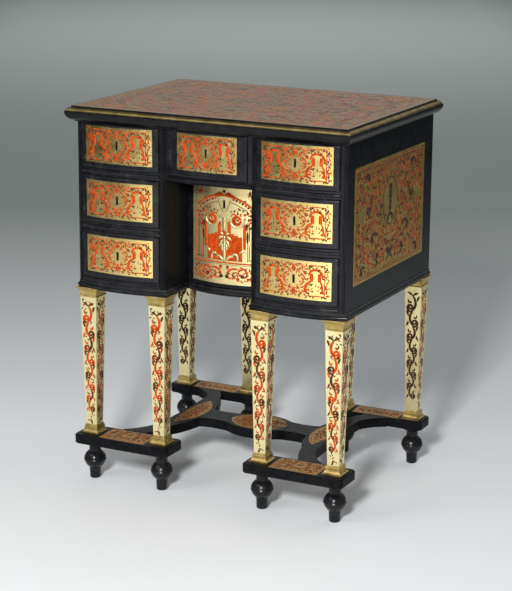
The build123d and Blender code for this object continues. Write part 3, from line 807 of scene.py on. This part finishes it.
def door_red():
    right_half = [
        # the arch is thickest in its middle
        sweep(2, 83, -4, 24, (-14, -14), 8, (0.7, 0.2), 6),
        leaf(5, 86, 25, 12, -60, 3.6),
        # bars between the pendant and the roundels, then the bar beside the field
        sweep(11, 29, -90, 24, (0, 0), 7.5, (0.9, 0.9), 5),
        sweep(43, 25, -90, 50, (0, 0), 6.0, (0.8, 0.8), 6),
        ring(*ROUNDEL, 5.2, 10.5),
        leaf(16, 45, 15, 13, -50, 4.0),
        leaf(14, 39, 30, 9, 60, 2.6),
        # the pilaster's inner line and the outer one
        sweep(53, 25, -90, 34, (0, 0), 2.4, (0.6, 0.6), 5),
        sweep(53, -16, -90, 30, (0, 0), 2.4, (0.6, 0.6), 5),
        sweep(69, 50, -90, 100, (0, 0), 1.8, (0.9, 0.9), 8),
        # the base line, and squares beside the column of the band
        sweep(0, -54.5, 0, 70, (0, 0), 3.0, (0.9, 0.9), 8),
        sweep(8, -60, -90, 8, (0, 0), 5, (0.9, 0.9), 4),
        sweep(8, -73, -90, 9, (0, 0), 5, (0.9, 0.9), 4),
        # corner sprigs
        leaf(50, 80, 50, 15, 40, 5),
        leaf(56, 77, 100, 12, -40, 4),
        leaf(64, 86, 200, 12, 50, 3),
    ]
    # the field, sawn here in upright strips that run into each other
    for strip in range(FIELD_STRIPS):
        u = (strip + 0.5) * FIELD_STRIP
        top = 12 - 0.35 * u - 2 * (strip % 2)
        right_half.append(sweep(u, top, -90, top - FIELD_LOW, (0, 0), FIELD_STRIP * 1.35, (0.8, 1), 8))
    right_half.append(sweep(30, -66, 170, 44, (40, 200, 420), 4.6, (0.6, 0.5), 12))
    right_half.append(sweep(34, -62, -10, 36, (-40, -200, -420), 4.2, (0.6, 0.5), 12))
    right_half.append(sweep(54, -84, 30, 26, (60, 200, 400), 3.4, (0.6, 0.5), 10))
    return mirrored(right_half) + [arch(ARCH_R, ARCH_HALF_TURN, 4.2)] + arch_beads(0)


def door_dark():
    inner = ARCH_R - ARCH_GAP
    turn = radians(10)
    right_half = [
        sweep(49.5, 30, -90, 80, (0, 0), 1.2, (0.9, 0.9), 8),
        sweep(61, 36, -90, 86, (0, 0), 1.8, (0.9, 0.9), 8),
        sweep(49, 10, -90, 22, (0, 0), 4.6, (0.5, 0.5), 6),
        sweep(47, 28, -90, 14, (0, 0), 3.4, (0.5, 0.5), 5),
        sweep(50, 43, 0, 18, (0, 0), 2.2, (0.8, 0.8), 5),
        sweep(50, -47, 0, 18, (0, 0), 1.6, (0.8, 0.8), 5),
        sweep(0, -58, 0, 70, (0, 0), 0.8, (1, 1), 8),
        sweep(inner * sin(turn), ARCH_V + inner * cos(turn), -10, 42, (-31, -31), 1.4, (0.9, 0.9), 12),
        sweep(13.5, 74, -100, 30, (-10, -70), 1.2, (0.9, 0.6), 8),
        bud(19, 22, 3.6),
        bud(22, -39, 4.2),
        bud(6, -82, 6.5),
        bud(39, -80, 7.0),
        bud(44, 72, 3.4),
        leaf(22, -72, 20, 10, -80, 2.2),
        key_side(DOOR_KEY_V),
    ]
    middle = [bud(0, 89, 6), key_rim(DOOR_KEY_V)]
    return mirrored(right_half) + middle + arch_beads(1)


def door_pale():
    """What is brass on the red: a tasselled pendant, two swags, the acanthus and its scrolls."""
    right_half = [
        sweep(12, 31, -84, 47, (168, 168), 4.2, (0.7, 0.7), 12),
        sweep(ROUNDEL[0] + 4.5, ROUNDEL[1] + 3, 130, 22, (330, 330), 2.2, (0.6, 0.6), 10),
        sweep(0, 39, 0, 12, (0, -60), 4.4, (1, 0.4), 5),
    ]
    leaves = ((2, -8, -30, 20, 6.5), (2, -2, 5, 17, 6.5), (1, 2, 45, 12, 5), (4, -16, -62, 17, 6))
    for u, v, way, length, width in leaves:
        right_half.append(leaf(u, v, way, length, -50, width))
    right_half.append(sweep(3, -50, 60, 22, (-40, -120), 5.5, (0.8, 0.3), 7))
    right_half.append(sweep(28, -50, 60, 26, (80, 200, 380), 5.0, (0.8, 0.4), 9))
    right_half.append(leaf(32, -34, 60, 14, -70, 5.5))
    stem = sweep(0, FIELD_LOW - 2, 90, 52, (0, 0), 8, (0.9, 0.6), 8)
    pendant = sweep(0, 40, -90, 32, (0, 0), 9, (0.9, 0.1), 6)
    return mirrored(right_half) + [stem, pendant]


def in_door_ground(u, v):
    """The parts of the door that small strokes fill: the base band, and beside the roundels."""
    band = -88 < v < -61 and 4 < abs(u) < 68
    clear = (abs(u) - ROUNDEL[0]) ** 2 + (v - 31) ** 2 > ROUNDEL_CLEAR**2
    flank = 14 < v < 56 and 15 < abs(u) < 62 and clear
    return band or flank


# %% Laid on the door
door_node = "door_marquetry_and_lock"
low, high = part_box(door_node)
door_middle_x, door_middle_z = plate_middle(door_node)
red_lines, dark_lines = door_red(), door_dark()
more_red, more_dark = fill_gaps(red_lines + dark_lines, in_door_ground, (3, 70), (-92, 56), DOOR_PITCH)
door_layers = cut_to(DOOR_PLATE_U, DOOR_PLATE_V, [
    (red_lines + mirrored(more_red), red_shell),
    (dark_lines + mirrored(more_dark[::2]), dark_shell),
    (mirrored(more_dark[1::2]), brown_shell),
    (door_pale(), door_brass),
])


def door_seat(u, v):
    return Vector((door_middle_x + u * MM, low.y - IN_FRONT, door_middle_z + v * MM))


piece = lay("door_inlay", door_layers, door_seat, "door", door_node)
print("the door's inlay has", triangles(piece), "triangles")

# %% [markdown]
# ## Legs
# A leg is sheathed in pale brass on four faces, and each face carries one vine of S scrolls
# that shrinks towards the foot with the taper. The left and right faces are sawn closer. At the
# back legs, which stand in shade, the front and back faces carry a dark vine only: painted shade.

# %% The vine of one leg face
LEG_LOW = 126
LEG_HIGH = 385
FOOT_HALF = 12.0
HEAD_HALF = 19.0
FOOT_Z = 100
HEAD_Z = 411
MARGIN = 4.0
STROKE_MARGIN = 1.6
FILL_MARGIN = 1.5
LEG_PITCH = 5.0
VINE_HALF = 13
VINE_TURN = 52
BEND_HIGH = 31
ARC_TO_CHORD = radians(VINE_TURN) / sin(radians(VINE_TURN))


def half_at(z):
    """Half the width of a leg at height z."""
    return FOOT_HALF + (HEAD_HALF - FOOT_HALF) * (z - FOOT_Z) / (HEAD_Z - FOOT_Z)


def vine():
    """One face's strokes, red and dark, with v as the height above the floor."""
    z = LEG_HIGH - 15
    red = []
    dark = [leaf(0, z, 60, 16, -50, 5.0), leaf(0, z, 120, 16, 50, 5.0)]
    hand, bend = 1, 0
    while z > LEG_LOW + 28:
        scale = (half_at(z) - MARGIN) / VINE_HALF
        high = BEND_HIGH * scale
        down, back = -90 + hand * VINE_TURN, -90 - hand * VINE_TURN
        turns = (-2 * hand * VINE_TURN, -2 * hand * VINE_TURN)
        stem = sweep(0, z, down, high * ARC_TO_CHORD, turns, 5.6 * scale, (0.5, 0.5), 8)
        turns = (-hand * 290, -hand * 380, -hand * 800)
        shoot = sweep(0, z - high, back, 42 * scale, turns, 4.6 * scale, (0.9, 0.5), 14)
        eye = bud(shoot[-1][0], shoot[-1][1], 4.6 * scale)
        edge = hand * 9.5 * scale
        leaves = [
            leaf(edge, z - 0.34 * high, 90 + hand * 8, 13 * scale, -hand * 50, 5.0 * scale),
            leaf(edge, z - 0.66 * high, -90 - hand * 8, 13 * scale, hand * 50, 4.8 * scale),
            curl(-hand * 9 * scale, z - 0.22 * high, -90 - hand * 15, 13 * scale, hand, 3.8 * scale),
            bud(-hand * 8.5 * scale, z - 0.95 * high, 5.0 * scale),
        ]
        darker = bend % 4 == 2
        (dark if darker else red).append(stem)
        (dark if bend % 3 == 1 else red).extend([shoot, eye])
        (red if darker else dark).extend([leaves[0], leaves[3]])
        red.extend(leaves[1:3])
        z -= high
        hand, bend = -hand, bend + 1
    scale = (half_at(z) - MARGIN) / VINE_HALF
    turns = (-hand * 40, -hand * 120, -hand * 300)
    tail = sweep(0, z, -90 + hand * 20, z - LEG_LOW + 8, turns, 4.6 * scale, (0.7, 0.6), 8)
    dark.append(tail)
    dark.append(bud(tail[-1][0], tail[-1][1], 4 * scale))
    return [s for s in red if fits_leg(s)], [s for s in dark if fits_leg(s)]


def fits_leg(stroke):
    """Whether a stroke keeps off the edges of the leg's face."""
    return all(abs(u) + half < half_at(v) - STROKE_MARGIN for u, v, half in stroke)


def in_leg_ground(u, v):
    return abs(u) < half_at(v) - MARGIN - FILL_MARGIN


# %% Laid on the eight legs
LEG_FACES = {"front": (0, -1), "right": (1, 0), "back": (0, 1), "left": (-1, 0)}
vine_red, vine_dark = vine()
more_red, more_dark = fill_gaps(
    vine_red + vine_dark, in_leg_ground, (-15, 15), (LEG_LOW, LEG_HIGH), LEG_PITCH
)
OPEN = [
    (vine_red[::4] + vine_red[1::4] + vine_red[2::4], red_shell),
    (vine_red[3::4] + more_red[::3], brown_shell),
    (vine_dark + more_dark[::2], umber_shell),
]
DENSE = [(vine_red + more_red, dull_shell), (vine_dark + more_dark, dark_shell)]
# painted shade: every stroke in dark shell, for the faces of the back legs that stand in shade
PAINTED_SHADE_VINE = [(vine_red + vine_dark, dark_shell)]


def leg_seat(middle, out_x, out_y):
    """The seat on one tapered face of the leg about that middle."""

    def seat(u, v):
        out = half_at(v) * MM
        return Vector((
            middle.x + out_x * out - out_y * u * MM,
            middle.y + out_y * out + out_x * u * MM,
            v * MM,
        ))

    return seat


def lay_leg(node):
    """The vines on all four faces of one leg, as one piece."""
    low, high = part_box(node)
    pieces = []
    for number, (face, out) in enumerate(LEG_FACES.items()):
        seat = leg_seat((low + high) / 2, *out)
        flip = -1 if (number + len(node)) % 2 else 1
        # the back legs' front and back faces get the painted shade vine
        drawing = DENSE if face in ("left", "right") else PAINTED_SHADE_VINE if "back" in node else OPEN
        layers = [
            ([[(flip * u, v, w) for u, v, w in stroke] for stroke in strokes], material)
            for strokes, material in drawing
        ]
        pieces.append(lay(node + "_inlay", layers, seat, "carcase"))
    pick(*reversed(pieces))
    bpy.ops.object.join()
    piece = bpy.context.object
    piece.name = node + "_inlay"
    return piece


for node in sorted(nodes):
    if node.endswith("_leg"):
        piece = lay_leg(node)
print("a leg's inlay has", triangles(piece), "triangles")

# %% [markdown]
# ## The side panels
# The larger panels' metal is coloured darker: painted shade, as the sides turn away from the lamps.
# Lines follow the border, an almond of plain brass with a candelabrum stands in the middle, and
# big scrolls roll away from it.

# %% The drawing of a side
SIDE_HALF_U = 173.5
SIDE_HALF_V = 114.0
SIDE_PITCH = 7.2
ALMOND = (37, 48)
ALMOND_STEPS = 14
ALMOND_V = 24
ROUND_U = 136
ROUND_V = 20
ROUND_R = 17
SCROLL_WIDTH = 6.4


def frame_lines(half_u, half_v, inset, width):
    """A rectangle of four straight strokes."""
    u, v = half_u - inset, half_v - inset
    return [
        sweep(-u, -v, 0, 2 * u, (0, 0), width, (1, 1), 12),
        sweep(-u, v, 0, 2 * u, (0, 0), width, (1, 1), 12),
        sweep(-u, -v, 90, 2 * v, (0, 0), width, (1, 1), 12),
        sweep(u, -v, 90, 2 * v, (0, 0), width, (1, 1), 12),
    ]


def almond(half_u, half_v, width, middle_v=0):
    """A pointed oval of two arcs."""
    radius = (half_v**2 + half_u**2) / (2 * half_u)
    turn = 2 * Vector((radius - half_u, half_v)).angle(Vector((1, 0))) * 180 / pi
    length = radians(turn) * radius
    arcs = []
    for hand in (1, -1):
        start = 90 - hand * (turn / 2 + turn / ALMOND_STEPS / 2)
        bends = (hand * turn, hand * turn)
        arcs.append(sweep(0, middle_v - half_v, start, length, bends, width, (1, 1), ALMOND_STEPS))
    return arcs


def candelabrum(u, v, size, width):
    """An upright stem with pairs of leaves, a bud on top and scrolls at its foot."""
    strokes = [sweep(u, v - size, 90, 2 * size, (0, 0), width, (0.6, 0.4), 6), bud(u, v + size, width * 1.6)]
    for share in (-0.7, -0.3, 0.1, 0.5):
        for hand in (1, -1):
            strokes.append(leaf(u, v + share * size, 90 - hand * 55, size * 0.42, hand * 80, width * 1.2))
    for hand in (1, -1):
        strokes.append(curl(u, v - size, 90 - hand * 80, size * 0.8, -hand, width))
    return strokes


def side_lines():
    """The main strokes of a side, red and dark."""
    right_dark = scroll(98, 48, 250, 20, 1, SCROLL_WIDTH)
    right_red = [
        sweep(0, 92, 0, 60, (-20, -120, 40), 5.5, (0.6, 0.5), 10),
        sweep(0, -40, -10, 70, (30, 120, 60), 5.5, (0.6, 0.5), 10),
        sweep(44, 0, -70, 60, (-60, 200, 360), 6.0, (0.6, 0.5), 12),
    ]
    for u, v, way, size, hand, red in (
        (44, 78, 40, 16, -1, 1), (30, -66, -60, 17, 1, 1), (66, 30, 80, 16, 1, 1),
        (62, -34, 30, 18, -1, 0), (84, 84, 20, 15, -1, 1), (88, -84, -10, 16, 1, 1),
        (128, 78, 120, 16, 1, 0), (132, -50, 230, 17, -1, 1), (108, -22, 100, 16, 1, 1),
        (118, -88, 20, 14, -1, 0), (52, -92, 20, 13, 1, 0), (14, -92, 150, 13, -1, 0),
    ):
        (right_red if red else right_dark).extend(scroll(u, v, way, size, hand, SCROLL_WIDTH))
    middle = almond(*ALMOND, 2.6, ALMOND_V) + candelabrum(0, ALMOND_V, 27, 9.0)
    dark = mirrored(right_dark) + middle + frame_lines(SIDE_HALF_U, SIDE_HALF_V, 11, 1.0)
    red = mirrored(right_red) + frame_lines(SIDE_HALF_U, SIDE_HALF_V, 6.5, 3.0)
    red += [bud(0, ALMOND_V + 54, 10), bud(0, ALMOND_V - 54, 11)]
    return red, dark


def in_side_ground(u, v):
    """The ground outside the almond and the plain rounds at both ends."""
    u = abs(u)
    in_almond = u / ALMOND[0] + ((v - ALMOND_V) / ALMOND[1]) ** 2 < 1.05
    in_round = (u - ROUND_U) ** 2 + (v - ROUND_V) ** 2 < ROUND_R**2
    return u < SIDE_HALF_U - 14 and abs(v) < SIDE_HALF_V - 14 and not in_almond and not in_round


# %% Laid on both sides
red_lines, dark_lines = side_lines()
more_red, more_dark = fill_gaps(red_lines + dark_lines, in_side_ground, (4, 162), (-102, 102), SIDE_PITCH)
side_layers = cut_to(SIDE_HALF_U, SIDE_HALF_V, [
    (red_lines + mirrored(more_red[::3] + more_dark[::2]), rust_shell),
    (mirrored(more_red[1::3] + more_red[2::3]), brown_shell),
    (dark_lines + mirrored(more_dark[1::2]), dark_shell),
])


def side_seat(face_x, middle, out):
    """The seat on the outer face at that x, seen from outside."""
    return lambda u, v: Vector((face_x, middle.y + out * u * MM, middle.z + v * MM))


for side, out in (("left", -1), ("right", 1)):
    low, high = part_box(side + "_side_marquetry")
    seat = side_seat(high.x if out > 0 else low.x, (low + high) / 2, out)
    piece = lay(side + "_side_inlay", side_layers, seat, "carcase")
print("a side's inlay has", triangles(piece), "triangles")

# %% [markdown]
# ## The top
# The top's metal is dark and its shell dull: partly wear, partly a painted reflection of the grey
# it mirrors at a glancing angle. One quarter is drawn and mirrored both ways. With so many
# strokes, each is laid a little coarser.

# %% The drawing of the top
low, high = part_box("top_marquetry")
TOP_HALF_U = (high.x - low.x) / 2 / MM
TOP_HALF_V = (high.y - low.y) / 2 / MM
TOP_PITCH = 12
TOP_SCROLLS = 26
TOP_COLUMNS = 6
TOP_SMOOTH = 2


def quartered(strokes):
    """The same strokes in all four quarters."""
    both = mirrored(strokes)
    return both + [[(u, -v, w) for u, v, w in stroke] for stroke in both]


def top_lines():
    """Scrolls in rows, with every other row moved along, then the almond and the border."""
    dark_quarter, red_quarter = [], []
    for number in range(TOP_SCROLLS):
        row, column = divmod(number, TOP_COLUMNS)
        u = 36 + column * 46 + row % 2 * 14
        v = 26 + row * 44
        if u > TOP_HALF_U - 24 or v > TOP_HALF_V - 20:
            continue
        hand = 1 if number % 2 else -1
        quarter = red_quarter if number % 4 else dark_quarter
        quarter.extend(scroll(u, v, number * GOLDEN_TURN, 22, hand, 8.5))
    red = quartered(red_quarter) + frame_lines(TOP_HALF_U, TOP_HALF_V, 9, 3.4)
    dark = quartered(dark_quarter) + almond(40, 70, 4) + frame_lines(TOP_HALF_U, TOP_HALF_V, 14, 1.2)
    return red, dark


def in_top_ground(u, v):
    return abs(u) < TOP_HALF_U - 16 and 2 < v < TOP_HALF_V - 16


# %% Laid on the top
red_lines, dark_lines = top_lines()
more_red, more_dark = fill_gaps(
    red_lines + dark_lines, in_top_ground, (6, TOP_HALF_U), (6, TOP_HALF_V), TOP_PITCH
)


def top_seat(u, v):
    return Vector((u * MM, v * MM, high.z))


top_layers = cut_to(TOP_HALF_U - 1, TOP_HALF_V - 1, [
    (red_lines + quartered(more_red), dull_shell),
    (dark_lines + quartered(more_dark), top_dark_shell),
])
piece = lay("top_inlay", top_layers, top_seat, "carcase", smooth=TOP_SMOOTH)
print("the top's inlay has", triangles(piece), "triangles")

# %% [markdown]
# ## Bars and stretchers
# The bars carry small oblong panels, edged with a line. Each pointed leaf of the stretchers
# has a rib along its bend with scrolls to both sides.

# %% The drawing of a bar
BAR_PLATE_U = 52
BAR_PLATE_V = {"front": 31, "back": 22}
BAR_PITCH = 5.2
BAR_MARGIN = 7


def bar_lines(half_v):
    """Scrolls and an edge line. A deeper panel has two scrolls more to each side."""
    right_half = scroll(8, 4, 20, 10, -1, 3.4) + scroll(10, -8, -10, 8, 1, 3.4)
    right_half += scroll(34, -4, 10, 9, 1, 3.4) + [leaf(30, 8, 160, 10, 40, 3.4)]
    if half_v > 26:
        right_half += scroll(22, 20, 30, 8, -1, 3.0) + scroll(24, -22, -30, 8, 1, 3.0)
    return within(mirrored(right_half), BAR_PLATE_U, half_v) + frame_lines(BAR_PLATE_U, half_v, 3.4, 1.6)


# %% Laid on the four bars
STRETCHER_TOP = 100 * MM
BAR_PLACES = [("front", -191.5), ("back", 203.5)]
BAR_X = 194


def bar_layers(half_v):
    red = bar_lines(half_v)
    fill_v = half_v - BAR_MARGIN

    def inside(u, v):
        return abs(u) < BAR_PLATE_U - BAR_MARGIN and abs(v) < fill_v

    many, few = fill_gaps(red, inside, (3, 46), (-fill_v, fill_v), BAR_PITCH)
    return [(red + mirrored(many), amber_shell), (mirrored(few), umber_shell)]


def flat_seat(x, y):
    return lambda u, v: Vector(((x + u) * MM, (y + v) * MM, STRETCHER_TOP))


for row, y in BAR_PLACES:
    layers = bar_layers(BAR_PLATE_V[row])
    for side, sign in (("left", -1), ("right", 1)):
        name = f"{side}_{row}_bar_inlay"
        piece = lay(name, layers, flat_seat(sign * BAR_X, y), "carcase")
print("a bar's inlay has", triangles(piece), "triangles")

# %% The drawing of a leaf
LEAF_EDGE = 3.2
LEAF_MARGIN = 4
LEAF_PITCH = 5.4


def leaf_half(v, half_u, half_v):
    """Half the width of a pointed leaf at v along it."""
    return half_u * (1 - (v / half_v) ** 2)


def leaf_lines(half_u, half_v):
    """The strokes of one leaf: an edge line, a rib and pairs of scrolls along it."""
    stations = [half_v * 0.9 * (step / 8 - 1) for step in range(17)]
    red = []
    for side in (-1, 1):
        red.append([(side * (leaf_half(v, half_u, half_v) - LEAF_EDGE), v, 0.7) for v in stations])
    red.append(sweep(0, -0.66 * half_v, 90, 1.32 * half_v, (0, 0), 3.4, (0.3, 0.3), 8))
    dark = [bud(0, 0, 7)]
    for step in range(-3, 3):
        v = (step + 0.3) * half_v / 5
        reach = leaf_half(v, half_u, half_v) * 0.75
        for hand in (-1, 1):
            turns = (hand * 20, hand * 160, hand * 420)
            red.append(sweep(hand, v, 90 - hand * 60, reach * 1.5, turns, 4.2, (0.6, 0.6), 9))
            dark.append(leaf(hand * 1.5, v - 4, 90 - hand * 75, reach * 0.5, hand * 40, 2.4))
    return red, dark


# %% Laid on the stretchers
SIDE_LEAF = (23, 81)
SIDE_LEAF_MIDDLE = 151
SIDE_LEAF_BEND = 9
CROSS_LEAF = (47, 64)
LEAVES_Y = 22


def side_leaf_seat(sign):
    """The seat on a side stretcher, which bends inward in its middle."""

    def seat(u, v):
        middle = SIDE_LEAF_MIDDLE + SIDE_LEAF_BEND * (v / SIDE_LEAF[1]) ** 2
        return Vector((sign * (middle + u) * MM, (LEAVES_Y + v) * MM, STRETCHER_TOP))

    return seat


def cross_leaf_seat(u, v):
    """The seat on the cross stretcher, with the rib from left to right."""
    return Vector((v * MM, (LEAVES_Y + u) * MM, STRETCHER_TOP))


def leaf_layers(half_u, half_v):
    red, dark = leaf_lines(half_u, half_v)

    def inside(u, v):
        return abs(u) < leaf_half(v, half_u, half_v) - LEAF_EDGE - LEAF_MARGIN

    many, few = fill_gaps(red + dark, inside, (2, half_u), (-half_v, half_v), LEAF_PITCH)
    return [(red + mirrored(many), amber_shell), (dark + mirrored(few), umber_shell)]


for side, sign in (("left", -1), ("right", 1)):
    seat = side_leaf_seat(sign)
    piece = lay(f"{side}_leaf_inlay", leaf_layers(*SIDE_LEAF), seat, "carcase")
piece = lay("cross_leaf_inlay", leaf_layers(*CROSS_LEAF), cross_leaf_seat, "carcase")
print("the cross leaf's inlay has", triangles(piece), "triangles")
